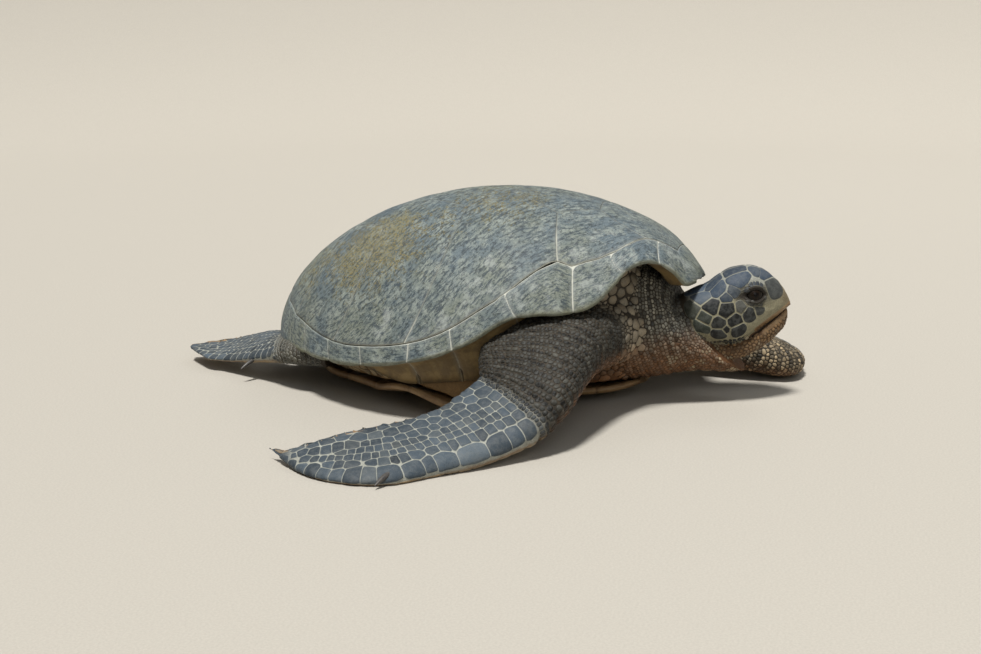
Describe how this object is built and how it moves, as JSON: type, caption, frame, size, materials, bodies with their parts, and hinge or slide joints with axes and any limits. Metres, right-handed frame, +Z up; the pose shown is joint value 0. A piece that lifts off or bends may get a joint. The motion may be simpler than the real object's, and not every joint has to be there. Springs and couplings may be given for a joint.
{
  "type": "green sea turtle",
  "caption": "Life-size green sea turtle at rest on the floor: domed scuted shell, raised head, front flippers swept back, small rear flippers, still model.",
  "frame": {"origin": "middle of the animal's outline (its bounding box) on the floor", "axes": "+Z up; the head points to -Y and the tail to +Y; the turtle's left side is +X"},
  "size_m": [1.2891, 1.2984, 0.4059],
  "materials": {
    "scute_horn": "weathered horn, dull satin",
    "plastron_horn": "satin horn",
    "skin": "dry scaly hide",
    "beak_horn": "satin horn",
    "eye": "wet gloss",
    "claw_horn": "satin horn"
  },
  "bodies": {
    "root": {"nuchal": "scute_horn", "vertebral_1": "scute_horn", "vertebral_2": "scute_horn", "vertebral_3": "scute_horn", "vertebral_4": "scute_horn", "vertebral_5": "scute_horn", "costal_1_left": "scute_horn", "costal_1_right": "scute_horn", "costal_2_left": "scute_horn", "costal_2_right": "scute_horn", "costal_3_left": "scute_horn", "costal_3_right": "scute_horn", "costal_4_left": "scute_horn", "costal_4_right": "scute_horn", "marginals_left": "scute_horn", "marginals_right": "scute_horn", "plastron": "plastron_horn", "trunk": "skin", "head": "skin", "neck": "skin", "upper_arm_right": "skin", "upper_arm_left": "skin", "front_flipper_right": "skin", "front_flipper_left": "skin", "thigh_right": "skin", "thigh_left": "skin", "rear_flipper_right": "skin", "rear_flipper_left": "skin", "tail": "skin", "lower_jaw": "beak_horn", "eye_right": "eye", "eye_left": "eye", "claw_front_right": "claw_horn", "claw_front_left": "claw_horn", "claw_rear_right": "claw_horn", "claw_rear_left": "claw_horn"}
  },
  "joints": []
}
